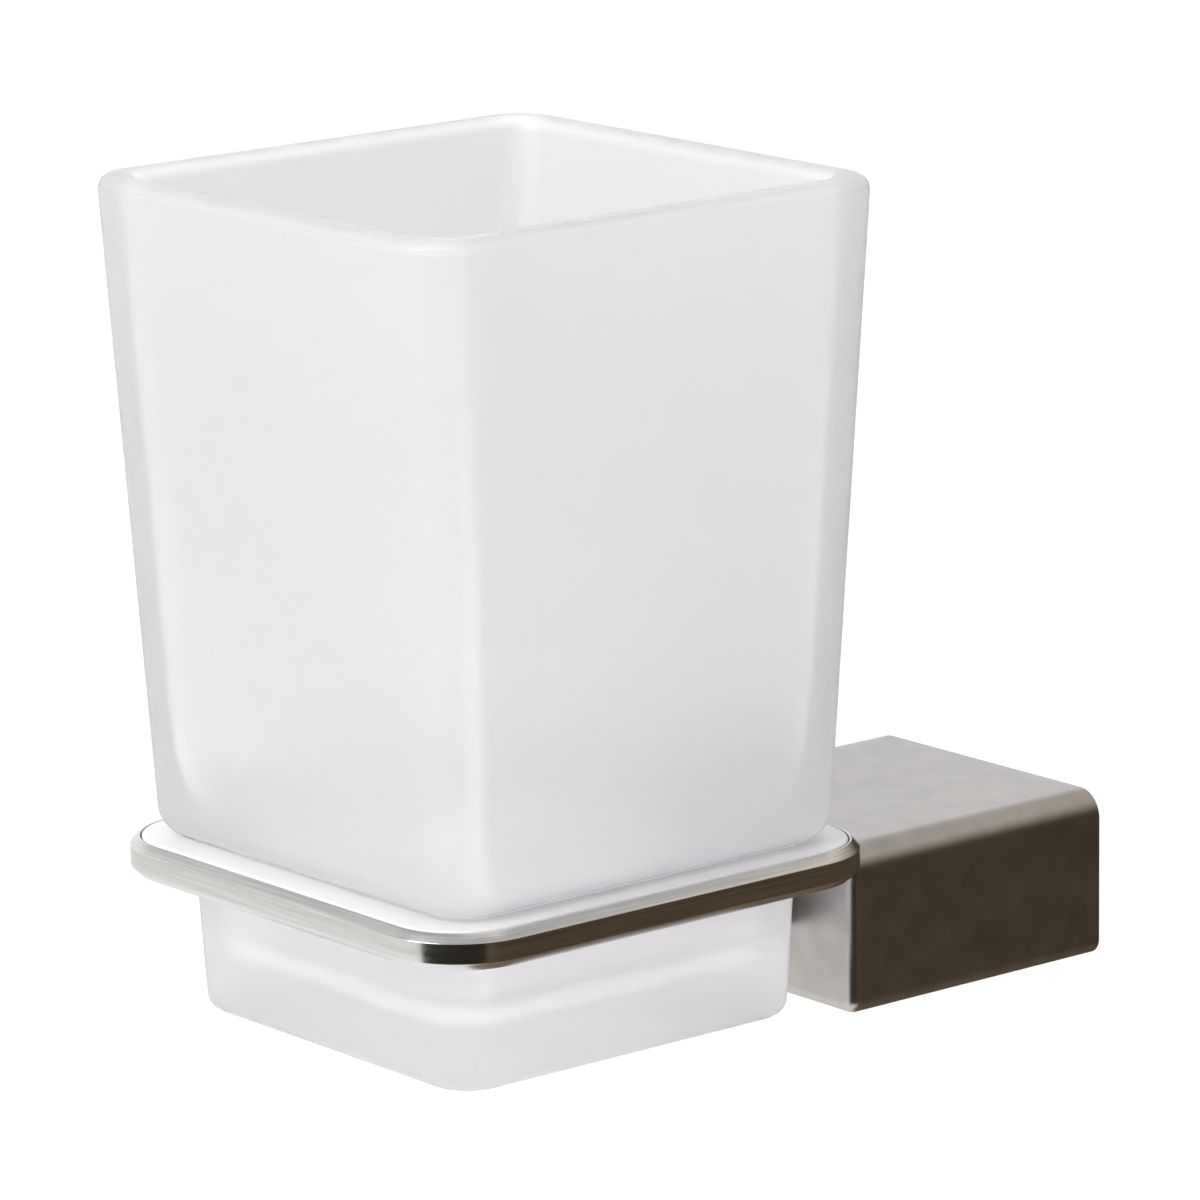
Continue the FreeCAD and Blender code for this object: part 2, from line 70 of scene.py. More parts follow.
def socket_group(name, inputs, outputs):
    """An empty shader node group with named float, vector or colour sockets, and its two end nodes."""
    group = bpy.data.node_groups.new(name, "ShaderNodeTree")
    for label, kind, plain in inputs:
        socket = group.interface.new_socket(label, in_out="INPUT", socket_type=kind)
        if plain is not None:
            socket.default_value = plain
    for label, kind in outputs:
        group.interface.new_socket(label, in_out="OUTPUT", socket_type=kind)
    return group, group.nodes.new("NodeGroupInput"), group.nodes.new("NodeGroupOutput")


def make_grain():
    """Mottled surface: a coarse cloud shifts the colour and roughness, a fine noise gives the tooth.

    Colour is the plain colour times (1 + mottle * (cloud - 0.5)); roughness is the plain roughness
    plus spread * (cloud - 0.5); the normal follows the fine noise.
    """
    group, start, end = socket_group(
        "surface_grain",
        [("Vector", "NodeSocketVector", None), ("Colour", "NodeSocketColor", None),
         ("Roughness", "NodeSocketFloat", 0.3), ("Spread", "NodeSocketFloat", 0.1),
         ("Mottle", "NodeSocketFloat", 0.1), ("Cloud Scale", "NodeSocketFloat", 300.0),
         ("Tooth Scale", "NodeSocketFloat", 3000.0), ("Tooth", "NodeSocketFloat", 0.05)],
        [("Colour", "NodeSocketColor"), ("Roughness", "NodeSocketFloat"), ("Normal", "NodeSocketVector")])
    link = group.links.new
    cloud = add(group, "ShaderNodeTexNoise", Detail=2.5, Roughness=0.5)
    tooth = add(group, "ShaderNodeTexNoise", Detail=2.0)
    for noise, scale in ((cloud, "Cloud Scale"), (tooth, "Tooth Scale")):
        link(start.outputs["Vector"], noise.inputs["Vector"])
        link(start.outputs[scale], noise.inputs["Scale"])
    shift = add(group, "ShaderNodeMath", operation="SUBTRACT")
    shift.inputs[1].default_value = 0.5
    link(cloud.outputs["Fac"], shift.inputs[0])
    gain = add(group, "ShaderNodeMath", operation="MULTIPLY_ADD")
    gain.inputs[2].default_value = 1.0
    link(shift.outputs[0], gain.inputs[0])
    link(start.outputs["Mottle"], gain.inputs[1])
    tone = add(group, "ShaderNodeVectorMath", operation="SCALE")
    link(start.outputs["Colour"], tone.inputs[0])
    link(gain.outputs[0], tone.inputs["Scale"])
    rough = add(group, "ShaderNodeMath", operation="MULTIPLY_ADD", use_clamp=True)
    link(shift.outputs[0], rough.inputs[0])
    link(start.outputs["Spread"], rough.inputs[1])
    link(start.outputs["Roughness"], rough.inputs[2])
    bump = add(group, "ShaderNodeBump", Distance=0.0001)
    link(start.outputs["Tooth"], bump.inputs["Strength"])
    link(tooth.outputs["Fac"], bump.inputs["Height"])
    link(tone.outputs[0], end.inputs["Colour"])
    link(rough.outputs[0], end.inputs["Roughness"])
    link(bump.outputs["Normal"], end.inputs["Normal"])
    return group


surface_grain = make_grain()


def grain_over(tree, shader, **values):
    """Places the grain on a finish, read in object coordinates, over the shader's own plain values."""
    where = add(tree, "ShaderNodeTexCoord")
    grain = add(tree, "ShaderNodeGroup", node_tree=surface_grain)
    grain.inputs["Colour"].default_value = shader.inputs["Base Color"].default_value
    grain.inputs["Roughness"].default_value = shader.inputs["Roughness"].default_value
    for label, setting in values.items():
        grain.inputs[label.replace("_", " ")].default_value = setting
    tree.links.new(where.outputs["Object"], grain.inputs["Vector"])
    tree.links.new(grain.outputs["Colour"], shader.inputs["Base Color"])
    tree.links.new(grain.outputs["Roughness"], shader.inputs["Roughness"])
    tree.links.new(grain.outputs["Normal"], shader.inputs["Normal"])
    return grain


zinc_plate, tree, shader = plain_finish("zinc_plate", (0.55, 0.57, 0.6), 0.42, metallic=1.0)
grain_over(tree, shader, Spread=0.25, Mottle=0.3, Cloud_Scale=420.0, Tooth_Scale=2600.0, Tooth=0.12)
nodes["wall_bracket"].data.materials[0] = zinc_plate


# Post: a hollow die-cast box that slides over the bracket and hides it.
# Blasted, then plated in satin nickel: warm grey, softly mirror-like, faintly mottled on its flats.

satin_nickel, tree, shader = plain_finish("satin_nickel", (0.5, 0.48, 0.467), 0.31, metallic=1.0)
grain_over(tree, shader, Spread=0.06, Mottle=0.38, Cloud_Scale=260.0, Tooth_Scale=2400.0, Tooth=0.02)
nodes["post_housing"].data.materials[0] = satin_nickel


# Set screw: a short socket screw in the post's underside that clamps the stub.
# Turned steel with a rolled thread, left a dull grey by its heat treatment.

thread_radius = 0.002
thread_pitch = 0.0007
thread_depth = 0.00032
tip_flat = 0.0006
socket_floor = 0.0003


def sheet_mesh(name, grid, closed):
    """Piece over a grid of points: rows run along the profile, columns once round the path.

    A closed profile joins its last row to its first; an open one is capped at both ends. The UV map
    holds the distance in metres along the path and along the profile.
    """
    rows, columns = grid.shape[:2]
    spans = rows if closed else rows - 1
    row, column = np.meshgrid(np.arange(spans), np.arange(columns), indexing="ij")
    corner_rows = np.stack([row, row, row + 1, row + 1], axis=-1).reshape(-1, 4)
    corner_columns = np.stack([column, column + 1, column + 1, column], axis=-1).reshape(-1, 4)
    faces = (corner_rows % rows) * columns + corner_columns % columns
    polygons = faces.tolist()
    if not closed:
        polygons += [list(range(columns))[::-1], list(range((rows - 1) * columns, rows * columns))]
    mesh = bpy.data.meshes.new(name)
    mesh.from_pydata(grid.reshape(-1, 3), [], polygons)
    along = np.linalg.norm(np.roll(grid, -1, axis=1) - grid, axis=2).max(axis=0)
    across = np.linalg.norm(np.roll(grid, -1, axis=0) - grid, axis=2).mean(axis=1)
    u = np.concatenate([[0.0], np.cumsum(along)])
    v = np.concatenate([[0.0], np.cumsum(across)])
    uv = np.zeros((len(mesh.loops), 2), np.float32)
    uv[:faces.size] = np.stack([u[corner_columns], v[corner_rows]], axis=-1).reshape(-1, 2)
    mesh.uv_layers.new(name="run").data.foreach_set("uv", uv.reshape(-1))
    mesh.polygons.foreach_set("use_smooth", np.ones(len(polygons), bool))
    mesh.update()
    piece = bpy.data.objects.new(name, mesh)
    bpy.context.scene.collection.objects.link(piece)
    return piece


def screw_grid(head, start, end, columns=36, rows_per_pitch=10):
    """Surface of a screw, from the floor of its hexagon socket, over its head and down to its tip.

    Each row is (distance down the screw, radius, hexagon share). The radius is mixed with that of a
    hexagon, which is radius / cos(angle within its sixth). From start to end a triangle wave of
    (distance / pitch - angle / turn) takes up to the thread's depth off it, fading in and out over half
    a pitch.
    """
    angle = np.linspace(0, 2 * math.pi, columns, endpoint=False)
    run = np.arange(start, end, thread_pitch / rows_per_pitch)
    shank = np.column_stack([run, np.full_like(run, thread_radius), 0 * run])
    tip = [(end, thread_radius - thread_depth, 0), (end, tip_flat, 0)]
    along, wide, hexed = (column[:, None] for column in np.concatenate([head, shank, tip]).T)
    sixth = np.mod(angle, math.pi / 3) - math.pi / 6
    round_wide = wide * (1 + hexed * (1 / np.cos(sixth) - 1))
    wave = np.abs(2 * np.mod(along / thread_pitch - angle / (2 * math.pi), 1) - 1)
    fade_in = np.clip(2 * (along - start) / thread_pitch, 0, 1)
    fade = fade_in * np.clip(2 * (end - along) / thread_pitch, 0, 1)
    wide = round_wide - thread_depth * np.where(fade > 0, 1 - fade * (1 - wave), 0)
    return np.stack([wide * np.cos(angle), wide * np.sin(angle), along + 0 * angle], axis=-1)


screw_steel, tree, shader = plain_finish("screw_steel", (0.42, 0.42, 0.43), 0.34, metallic=1.0)
grain_over(tree, shader, Spread=0.16, Mottle=0.18, Cloud_Scale=900.0, Tooth_Scale=5000.0, Tooth=0.08)

set_low, set_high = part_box("set_screw")
set_length = set_high.z - set_low.z
set_chamfer = 0.0002
set_face = 0.0016
set_socket_half = 0.001
set_socket_depth = 0.002
set_socket_rim = 0.00125
set_head = [
    (set_socket_depth, socket_floor, 1), (set_socket_depth, set_socket_half, 1),
    (0.0, set_socket_half, 1), (0.0, set_socket_rim, 0), (0.0, set_face, 0)]
set_seat = np.array([(set_low.x + set_high.x) / 2, (set_low.y + set_high.y) / 2, set_low.z])
set_screw = sheet_mesh(
    "socket_set_screw", screw_grid(set_head, set_chamfer, set_length) + set_seat, closed=False)
set_screw.data.materials.append(screw_steel)
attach(set_screw, "clamp_screw")
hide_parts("set_screw")


# Ring: a flat bar bent to a square round the glass, its edges chamfered, rebated on top for the liner.
# Solid brass, linished along its length so that fine streaks follow the bar, then nickel plated.

ring_low, ring_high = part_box("holder_ring")
ring_half = (ring_high.x - ring_low.x) / 2
ring_axis = np.array([0.0, ring_low.y + ring_half])
ring_top = ring_high.z
ring_corner = 0.0104
ring_bar = 0.005
ring_height = 0.0044
ring_chamfer = 0.001
ring_break = 0.0001
rebate_rim = 0.0012
rebate_depth = 0.0009
rebate_edge = 0.0004


def square_path(arc_steps=14, side_steps=10):
    """Centre path and direction of a rounded square, once round it anticlockwise.

    On an arc the centre stays at a corner of the unit square and the direction turns a quarter;
    on a side the centre moves to the next corner and the direction stays.
    """
    corners = np.array([(1, 1), (-1, 1), (-1, -1), (1, -1)], float)
    turn = np.linspace(0, 1, arc_steps, endpoint=False)
    move = np.linspace(0, 1, side_steps, endpoint=False)
    quarter = np.arange(4)[:, None]
    following = np.roll(corners, -1, axis=0)
    still = np.repeat(corners[:, None], arc_steps, axis=1)
    moving = corners[:, None] + (following - corners)[:, None] * move[:, None]
    centre = np.concatenate([still, moving], axis=1).reshape(-1, 2)
    angle = np.concatenate([quarter + turn, np.repeat(quarter + 1.0, side_steps, axis=1)], axis=1)
    angle = angle.reshape(-1) * math.pi / 2
    return centre, np.stack([np.cos(angle), np.sin(angle)], axis=1)


def square_sweep(half, corner, level, **steps):
    """Rounded squares about the ring's axis, one row of points for each point of a profile.

    Point = axis + (half width - corner radius) * centre path + corner radius * direction, at its level.
    """
    centre, direction = square_path(**steps)
    half, corner, level = (np.asarray(values, float)[:, None, None] for values in (half, corner, level))
    flat = (half - corner) * centre + corner * direction + ring_axis
    height = np.broadcast_to(level, flat.shape[:2] + (1,))
    return np.concatenate([flat, height], axis=2)


def arc(start, end, steps=8):
    """Cosines and sines of a turn from one angle to another, in degrees."""
    angle = np.radians(np.linspace(start, end, steps))
    return np.cos(angle), np.sin(angle)


chamfer_end = ring_chamfer + ring_break * math.tan(math.pi / 8)
under_cos, under_sin = arc(-90, -45, 4)
low_cos, low_sin = arc(-45, 0, 4)
high_cos, high_sin = arc(0, 45, 4)
over_cos, over_sin = arc(45, 90, 4)
rim_cos, rim_sin = arc(90, 180, 5)
inset = np.concatenate([
    [ring_bar, (ring_bar + ring_chamfer) / 2], chamfer_end - ring_break * under_cos,
    ring_break * (1 - low_cos), ring_break * (1 - high_cos), chamfer_end - ring_break * over_cos,
    rebate_rim - ring_break * (1 + rim_cos), [rebate_rim, ring_bar, ring_bar]])
drop = np.concatenate([
    [ring_height, ring_height], ring_height - ring_break * (1 + under_sin),
    ring_height - chamfer_end - ring_break * low_sin, chamfer_end - ring_break * high_sin,
    ring_break * (1 - over_sin), ring_break * (1 - rim_sin),
    [rebate_depth, rebate_depth, rebate_depth + rebate_edge]])
ring_grid = square_sweep(ring_half - inset, ring_corner - inset, ring_top - drop)
ring = sheet_mesh("ring_bar", ring_grid, closed=True)

brushed_nickel, tree, shader = plain_finish("brushed_nickel", (0.73, 0.724, 0.715), 0.2, metallic=1.0)
grain = grain_over(tree, shader, Spread=0.2, Mottle=0.5, Cloud_Scale=1.0, Tooth_Scale=2.0, Tooth=0.05)
run = add(tree, "ShaderNodeUVMap", uv_map="run")
streaks = add(tree, "ShaderNodeMapping", Scale=(60.0, 3200.0, 1.0))
tree.links.new(run.outputs["UV"], streaks.inputs["Vector"])
tree.links.new(streaks.outputs["Vector"], grain.inputs["Vector"])
ring.data.materials.append(brushed_nickel)
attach(ring, "post")
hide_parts("holder_ring")


# Lug: the block that stands against the post's front, with a tab up into the ring's rear bar.
# Cast with the ring and finished like the post, its edges just broken.

lug_half = 0.008
lug_low = -0.002
lug_high = 0.009
lug_front = -0.0496
lug_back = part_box("post_housing")[0].y
tab_back = -0.0466
tab_top = 0.0113
lug_outline = np.array([
    (lug_front, lug_low), (lug_back, lug_low), (lug_back, lug_high),
    (tab_back, lug_high), (tab_back, tab_top), (lug_front, tab_top)])
lug_grid = np.stack([np.insert(lug_outline, 0, x, axis=1) for x in (-lug_half, lug_half)])
lug = sheet_mesh("ring_lug", lug_grid, closed=False)
broken = lug.modifiers.new("broken_edges", "BEVEL")
broken.width = 0.0005
broken.segments = 3
lug.data.materials.append(satin_nickel)
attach(lug, "post")
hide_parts("holder_ring")


# Ring screws: two socket button-head screws, driven from inside the post into the lug, each over a
# split spring washer. The same grey steel as the set screw.

screw_low, screw_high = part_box("ring_screws")
screw_length = screw_high.y - screw_low.y
screw_offset = 0.0045
head_height = 0.0024
head_flat = 0.0017
head_round = 0.0018
head_under = 0.0034
dome_height = 0.0022
key_half = 0.00125
key_depth = 0.0013
key_rim = 0.0015
dome_cos, dome_sin = arc(90, 0, 7)
screw_head = np.concatenate([
    [(key_depth, socket_floor, 1), (key_depth, key_half, 1), (0.0, key_half, 1), (0.0, key_rim, 0)],
    np.column_stack([dome_height * (1 - dome_sin), head_flat + head_round * dome_cos, 0 * dome_cos]),
    [(head_height, head_under, 0), (head_height, thread_radius, 0)]])
grid = screw_grid(screw_head, head_height, screw_length)
turned = np.stack([grid[..., 0], -grid[..., 2], grid[..., 1]], axis=-1)
for name, x in (("ring_screw_left", -screw_offset), ("ring_screw_right", screw_offset)):
    screw_seat = np.array([x, screw_high.y, (screw_low.z + screw_high.z) / 2])
    screw = sheet_mesh(name, turned + screw_seat, closed=False)
    screw.data.materials.append(screw_steel)
    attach(screw, "post")
    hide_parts("ring_screws")
nodes["lock_washers"].data.materials[0] = screw_steel


# Liner: a thin moulded collar that lies in the rebate and lines the opening.
# Milky natural plastic, satin from its mould.

liner_fit = 0.0002
liner_wall = 0.001
flange_edge = 0.0003
flange_thickness = 0.001
flange_inset = rebate_rim + liner_fit
flange_under = ring_top - rebate_depth
flange_top = flange_under + flange_thickness
skirt_inset = ring_bar + liner_fit
skirt_reach = 0.0006
skirt_end = ring_top - ring_height - skirt_reach
end_cos, end_sin = arc(180, 360, 9)
rim_cos, rim_sin = arc(0, 90, 6)
lip_cos, lip_sin = arc(90, 180, 6)
inset = np.concatenate([
    skirt_inset + liner_wall / 2 * (1 - end_cos), [skirt_inset, flange_inset],
    flange_inset + flange_edge * (1 - rim_cos), skirt_inset + liner_wall - flange_edge * (1 + lip_cos)])
level = np.concatenate([
    skirt_end + liner_wall / 2 * (1 + end_sin), [flange_under, flange_under],
    flange_top - flange_edge * (1 - rim_sin), flange_top - flange_edge * (1 - lip_sin)])
liner_grid = square_sweep(ring_half - inset, ring_corner - inset, level)
liner = sheet_mesh("liner_collar", liner_grid, closed=True)

liner_plastic, tree, shader = plain_finish("liner_plastic", (0.82, 0.82, 0.83), 0.36)
shader.inputs["IOR"].default_value = 1.49
grain_over(tree, shader, Spread=0.1, Mottle=0.04, Cloud_Scale=200.0, Tooth_Scale=1500.0, Tooth=0.05)
liner.data.materials.append(liner_plastic)
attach(liner, "liner")
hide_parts("ring_liner")


# Tumbler: pressed glass, square with rounded corners, hung in the liner by its shoulder.
# Clear glass frosted white by acid, so that its surface scatters light like fine sugar.

foot_height = 0.02155
foot_half = 0.02635
foot_draw = 0.00095
foot_round = 0.0021
foot_corner = 0.0059
foot_ease = 0.0003
neck_ease = 0.00005
shoulder_half = 0.0302
shoulder_round = 0.004
shoulder_start = -74
flare = 0.04744
bowl_corner = 0.0063
lip_level = 0.0784
lip_round = 0.0017
lip_ease = 0.0002
dip_depth = 0.00012
dip_place = 0.28
dip_width = 0.07
glass_wall = 0.0042
bore_corner = 0.004
throat_top = 0.014
throat_end = -0.002
bore_floor = -0.01455
floor_round = 0.003
core_half = 0.003
core_corner = 0.0029


def tumbler_profile():
    """Half width, corner radius and level of every turn of the glass, from under its foot to its floor.

    Up the outside: foot edge (quarter round), drafted foot, shoulder round, flaring wall and lip, with
    a fine dip left by the mould low on the lip. Down the inside: lip, flaring wall, throat eased by a
    cosine, foot wall and floor round. Levels count from under the shoulder. A round keeps the distance
    half width minus corner radius, so that it stays even round the corners, and it meets the wall where
    its radius leans as the wall does.
    """
    parts = []

    def rows(half, corner, level):
        parts.append(np.stack(np.broadcast_arrays(half, corner, level), axis=1).astype(float))

    def turn(half, corner, level, radius, cosine, sine):
        rows(half + radius * cosine, corner + radius * cosine, level + radius * sine)

    def foot(level):
        return foot_half + foot_draw * (level + foot_height) / foot_height

    def wall(level):
        return shoulder_half + flare * level

    lean = math.atan(flare)
    rise = math.sin(lean)
    lean_out = math.cos(lean)
    lean_angle = math.degrees(lean)

    foot_edge = foot_round - foot_height
    foot_flat = foot(foot_edge) - foot_round
    flat_corner = foot_corner - foot_round
    widening = np.linspace(core_half, foot_flat, 6)[:-1]
    rows(widening, np.linspace(core_corner, flat_corner, 6)[:-1], -foot_height)
    turn(foot_flat, flat_corner, foot_edge, foot_round, *arc(-90, 0))
    level = np.linspace(foot_edge, -foot_ease, 8)[1:]
    rows(foot(level), foot_corner, level)
    rows([foot(0.0)], [foot_corner - neck_ease], [-neck_ease])

    shoulder_centre = wall(shoulder_round * (1 - rise)) - shoulder_round * lean_out
    turn(shoulder_centre, bowl_corner - shoulder_round, shoulder_round, shoulder_round,
         *arc(shoulder_start, -lean_angle, 12))
    wall_top = lip_level - lip_ease
    level = np.linspace(shoulder_round, wall_top, 14)[1:]
    rows(wall(level), bowl_corner, level)

    cosine, sine = arc(-lean_angle, 90, 33)
    dipped = lip_round - dip_depth * np.exp(-((sine - dip_place) / dip_width) ** 2)
    outer_centre = wall(lip_level - lip_round * rise) - lip_round * lean_out
    turn(outer_centre, bowl_corner - lip_round, lip_level, dipped, cosine, sine)
    inner_centre = wall(lip_level + lip_round * rise) - glass_wall + lip_round * lean_out
    turn(inner_centre, bore_corner + lip_round, lip_level, lip_round, *arc(90, 180 - lean_angle, 9))

    level = np.linspace(wall_top, throat_top, 12)
    rows(wall(level) - glass_wall, bore_corner, level)
    down = np.linspace(0, 1, 18)[1:]
    throat_wide = wall(throat_top) - glass_wall
    throat_narrow = foot(throat_end) - glass_wall
    narrowing = (throat_wide - throat_narrow) * (1 - np.cos(np.pi * down)) / 2
    rows(throat_wide - narrowing, bore_corner, throat_top + (throat_end - throat_top) * down)

    floor_edge = bore_floor + floor_round
    level = np.linspace(throat_end, floor_edge, 4)[1:]
    rows(foot(level) - glass_wall, bore_corner, level)
    floor_flat = foot(floor_edge) - glass_wall - floor_round
    flat_corner = bore_corner - floor_round
    turn(floor_flat, flat_corner, floor_edge, floor_round, *arc(0, -90))
    closing = np.linspace(floor_flat, core_half, 6)[1:]
    rows(closing, np.linspace(flat_corner, core_corner, 6)[1:], bore_floor)
    return np.concatenate(parts).T


half, corner, level = tumbler_profile()
shoulder_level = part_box("glass_tumbler")[0].z + foot_height
tumbler_grid = square_sweep(half, corner, shoulder_level + level, side_steps=14)
tumbler = sheet_mesh("tumbler_glass", tumbler_grid, closed=False)


def height_in(tree, coordinates):
    """Height of each point in the coordinates of that name."""
    where = add(tree, "ShaderNodeTexCoord")
    axes = add(tree, "ShaderNodeSeparateXYZ")
    tree.links.new(where.outputs[coordinates], axes.inputs[0])
    return axes.outputs["Z"]


def ramp(tree, source, span, settings, curve="SMOOTHSTEP"):
    """A value that goes from the first setting to the second while its source crosses the span."""
    node = add(tree, "ShaderNodeMapRange", interpolation_type=curve)
    for label, setting in zip(("From Min", "From Max", "To Min", "To Max"), (*span, *settings)):
        node.inputs[label].default_value = setting
    tree.links.new(source, node.inputs["Value"])
    return node.outputs["Result"]


bowl_frost = 0.42
foot_frost = 0.56
frosted_glass, tree, shader = plain_finish("frosted_glass", (0.99, 0.983, 1.0), bowl_frost)
shader.inputs["Transmission Weight"].default_value = 0.88
shader.inputs["IOR"].default_value = 1.5
grain = grain_over(tree, shader, Spread=0.12, Mottle=0.02, Cloud_Scale=90.0, Tooth_Scale=5000.0, Tooth=0.06)
frost_change = (ring_top - 0.006, ring_top + 0.012)
frost = ramp(tree, height_in(tree, "Object"), frost_change, (foot_frost, bowl_frost))
tree.links.new(frost, grain.inputs["Roughness"])
tumbler.data.materials.append(frosted_glass)
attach(tumbler, "tumbler")
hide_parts("glass_tumbler")


# Studio: a pale floor well below the part, a white surround, a broad soft lamp at the front and weak
# ones above and low on the right. Glowing dark cards show only in reflections, as painted reflections
# on the metal; glowing grey ones show through the glass, as painted shade.

def picture_rays(tree, mirrored):
    """How much a surround shows as white: 1 for camera and see-through rays, a share for mirror rays.

    The mirror rays themselves are put out too.
    """
    path = add(tree, "ShaderNodeLightPath")
    glint = add(tree, "ShaderNodeMath", operation="MULTIPLY")
    glint.inputs[1].default_value = mirrored
    tree.links.new(path.outputs["Is Glossy Ray"], glint.inputs[0])
    seen = glint.outputs[0]
    for label in ("Is Camera Ray", "Is Transmission Ray"):
        either = add(tree, "ShaderNodeMath", operation="MAXIMUM")
        tree.links.new(seen, either.inputs[0])
        tree.links.new(path.outputs[label], either.inputs[1])
        seen = either.outputs[0]
    return seen, path.outputs["Is Glossy Ray"]


world = bpy.data.worlds.new("studio")
bpy.context.scene.world = world
world.use_nodes = True
tree = world.node_tree
sky = tree.nodes["Background"]
sky.inputs["Color"].default_value = (1.0, 1.0, 1.0, 1.0)
white, mirror_ray = picture_rays(tree, mirrored=1.0)
strength = ramp(tree, white, (0.0, 1.0), (0.95, 1.0), curve="LINEAR")
# Painted reflection: for mirror rays only, the sky dims by up to half from a little above the horizon
# upwards, so the metal's upward chamfers and rounds and the glass's lip reflect a darker sky than the one
# that lights them.
mirror_ceiling_shade = ramp(tree, height_in(tree, "Generated"), (0.3, 0.75), (0.0, 0.5))
shade = add(tree, "ShaderNodeMath", operation="MULTIPLY")
tree.links.new(mirror_ceiling_shade, shade.inputs[0])
tree.links.new(mirror_ray, shade.inputs[1])
dimmed = add(tree, "ShaderNodeMath", operation="SUBTRACT")
tree.links.new(strength, dimmed.inputs[0])
tree.links.new(shade.outputs[0], dimmed.inputs[1])
tree.links.new(dimmed.outputs[0], sky.inputs["Strength"])


def open_sheet(name, grid, finish):
    """A bare sheet over a grid of points, one cell between each four of them."""
    rows, columns = grid.shape[:2]
    first = np.arange((rows - 1) * columns).reshape(rows - 1, columns)[:, :-1].reshape(-1)
    faces = np.column_stack([first, first + 1, first + columns + 1, first + columns])
    mesh = bpy.data.meshes.new(name)
    mesh.from_pydata(grid.reshape(-1, 3), [], faces.tolist())
    mesh.materials.append(finish)
    sheet = bpy.data.objects.new(name, mesh)
    bpy.context.scene.collection.objects.link(sheet)
    return sheet


floor_level = -0.45
floor_half = 4.0
floor_glow = 0.25
floor_side = np.linspace(-floor_half, floor_half, 9)
floor_x, floor_y = np.meshgrid(floor_side, floor_side)
floor_grid = np.stack([floor_x, floor_y, np.full_like(floor_x, floor_level)], axis=-1)
pale_floor, tree, shader = plain_finish("pale_floor", (0.82, 0.81, 0.79), 0.9)
shader.inputs["Emission Color"].default_value = (1.0, 1.0, 1.0, 1.0)
glow = add(tree, "ShaderNodeMath", operation="MULTIPLY")
glow.inputs[1].default_value = floor_glow
tree.links.new(picture_rays(tree, mirrored=0.1)[0], glow.inputs[0])
tree.links.new(glow.outputs[0], shader.inputs["Emission Strength"])
floor = open_sheet("floor", floor_grid, pale_floor)


def soft_lamp(name, place, aim, width, power):
    """A square soft lamp at a place, turned to face a point."""
    lamp = bpy.data.lights.new(name, "AREA")
    lamp.size = width
    lamp.energy = power
    item = bpy.data.objects.new(name, lamp)
    item.location = place
    item.rotation_euler = (Vector(aim) - Vector(place)).to_track_quat("-Z", "Y").to_euler()
    bpy.context.scene.collection.objects.link(item)
    return item


middle = (0.0, -0.08, 0.04)
soft_lamp("key_lamp", (-0.05, -1.02, 0.58), middle, width=0.7, power=9.8)
soft_lamp("top_lamp", (0.1, 0.15, 1.0), middle, width=0.6, power=0.3)
foot_lamp = soft_lamp("foot_lamp", (0.34, -0.1, -0.13), (0.026, -0.08, 0.0), width=0.12, power=0.07)
foot_lamp.data.spread = math.radians(60)
foot_lamp.visible_glossy = False

card_distance = 0.45
card_columns = 28
card_rows = 12

# A Mix node's colour sockets go by number, because others on it have the same names.
MIX_FIRST = 6
MIX_SECOND = 7
MIX_COLOUR = 2


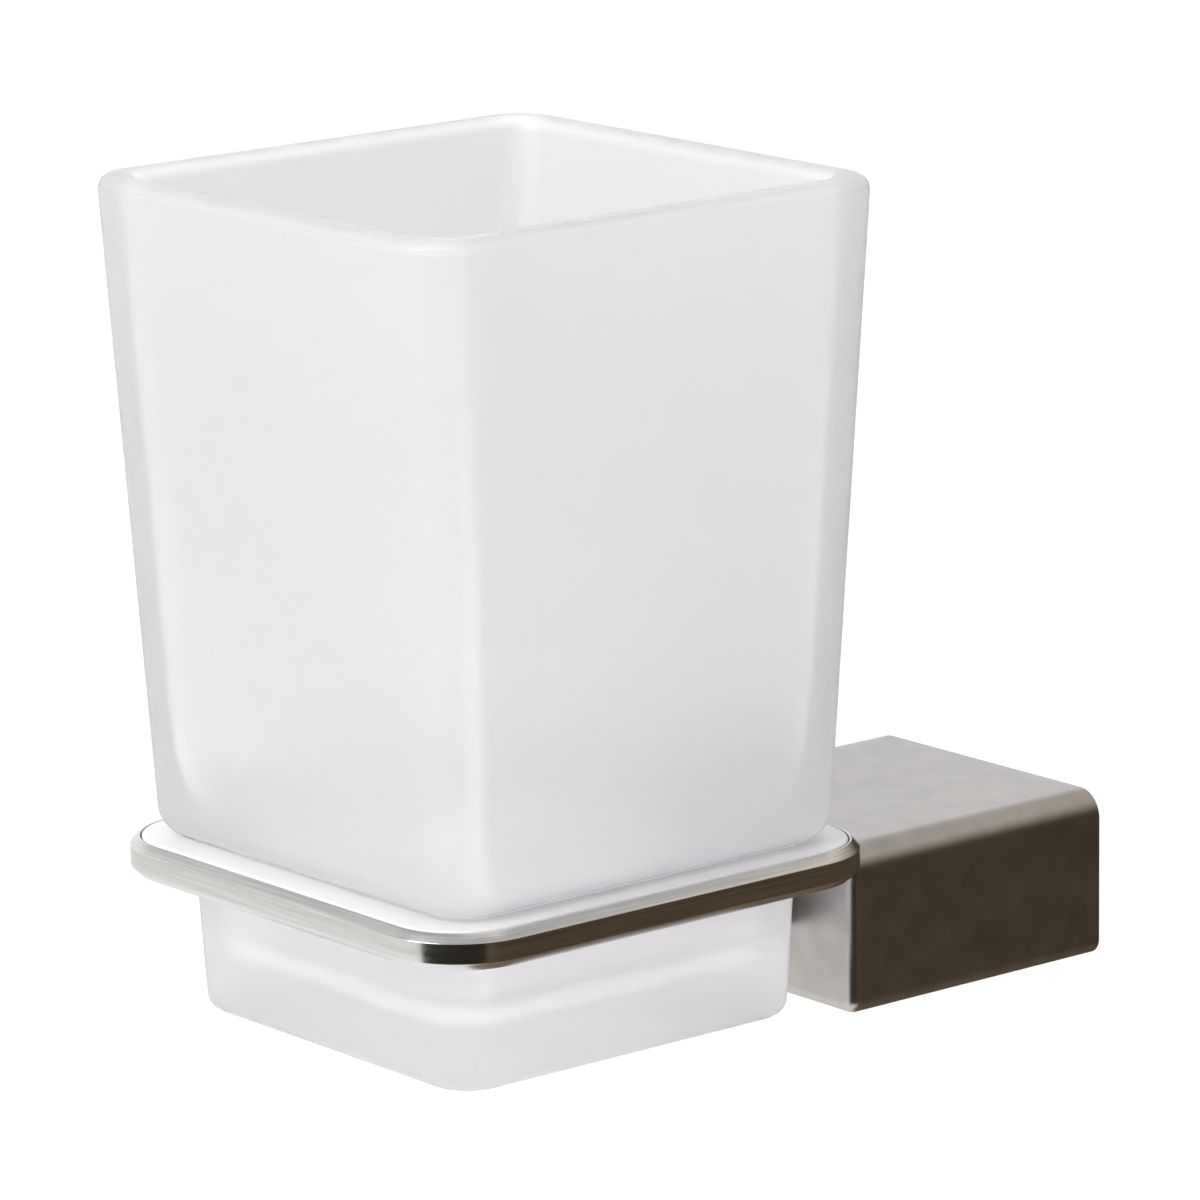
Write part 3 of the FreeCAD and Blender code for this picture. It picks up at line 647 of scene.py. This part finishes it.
def curved_card(name, azimuths, elevations, foot_tone, head_tone=None, **seen_by):
    """A card bent round the part: a patch of a sphere between two azimuths and two elevations.

    Direction = (cos rise * sin sweep, -cos rise * cos sweep, sin rise) from the part's middle, swept
    backwards so that the card faces the part. It glows, unlit, with one tone all over, or one at its
    foot that grades by height into another at its head: a painted reflection or painted shade, seen
    only by the rays it is made visible to.
    """
    across = np.radians(np.linspace(*azimuths[::-1], card_columns))
    upward = np.radians(np.linspace(*elevations, card_rows))
    sweep, rise = np.meshgrid(across, upward)
    points = np.array(middle) + card_distance * np.stack(
        [np.cos(rise) * np.sin(sweep), -np.cos(rise) * np.cos(sweep), np.sin(rise)], axis=-1)
    # Painted reflection and shade: the card is black and unlit, and shows only its glowing tone.
    card_glow, tree, shader = plain_finish(name, (0.0, 0.0, 0.0), 0.5)
    shader.inputs["Specular IOR Level"].default_value = 0.0
    shader.inputs["Emission Strength"].default_value = 1.0
    span = (points[0, 0, 2], points[-1, 0, 2])
    tone = add(tree, "ShaderNodeMix", data_type="RGBA")
    tone.inputs[MIX_FIRST].default_value = (*foot_tone, 1.0)
    tone.inputs[MIX_SECOND].default_value = (*(head_tone or foot_tone), 1.0)
    share = ramp(tree, height_in(tree, "Object"), span, (0.0, 1.0), curve="LINEAR")
    tree.links.new(share, tone.inputs["Factor"])
    tree.links.new(tone.outputs[MIX_COLOUR], shader.inputs["Emission Color"])
    card = open_sheet(name, points, card_glow)
    for ray in ("camera", "shadow", "diffuse", "glossy", "transmission", "volume_scatter"):
        setattr(card, f"visible_{ray}", seen_by.get(ray, False))


# Painted reflections: glowing brown and graded cards seen only by mirror rays. They paint the metal's dark
# near and right sides, the lighter stripe between them, and the grey and brownish bands on the ring's
# chamfers.
painted_near_reflection = (0.014, 0.011, 0.006)
painted_stripe_reflection = (0.09, 0.075, 0.05)
painted_side_reflection = (0.074, 0.051, 0.028)
curved_card("near_reflection_card", (2, 79), (-50, 20), painted_near_reflection, glossy=True)
curved_card("stripe_reflection_card", (79, 90), (-50, 20), painted_stripe_reflection, glossy=True)
curved_card("side_reflection_card", (90, 215), (-28, 6), painted_side_reflection, (0.05, 0.035, 0.018), glossy=True)
curved_card("lower_reflection_card", (90, 215), (-85, -28), (0.2, 0.155, 0.105), painted_side_reflection, glossy=True)
curved_card("upper_reflection_card", (90, 205), (6, 40), (0.055, 0.038, 0.02), (0.85, 0.76, 0.66), glossy=True)
# Painted shade: glowing grey cards seen only through the glass, darker on the right than round the back and
# left. The right one is also seen by diffuse rays, so it paints shade on every surface that faces right.
curved_card("left_shade_card", (140, 400), (-14, 88), (0.79, 0.79, 0.8), transmission=True)
curved_card("right_shade_card", (40, 140), (-10, 88), (0.4, 0.4, 0.41), transmission=True, diffuse=True)


# Camera: a long lens to the right of the front, a little above the ring, as in the photograph.
# It leans by its roll, because the photograph was taken a little out of level.

azimuth = math.radians(50.6148)
elevation = math.radians(13.1625)
roll = math.radians(-0.8045)
camera_aim = Vector((0.03584, -0.09209, 0.05226))
camera_distance = 0.7915
level_back = Vector((math.sin(azimuth), -math.cos(azimuth), 0.0))
back = level_back * math.cos(elevation) + Vector((0.0, 0.0, math.sin(elevation)))
lens = bpy.data.cameras.new("camera")
lens.sensor_width = 36.0
lens.lens = 209.72
lens.clip_start = 0.01
camera = bpy.data.objects.new("camera", lens)
facing = back.to_track_quat("Z", "Y").to_matrix().to_4x4() @ Matrix.Rotation(roll, 4, "Z")
camera.matrix_world = Matrix.Translation(camera_aim + back * camera_distance) @ facing
bpy.context.scene.collection.objects.link(camera)
bpy.context.scene.camera = camera
bpy.context.scene.view_settings.view_transform = "Standard"
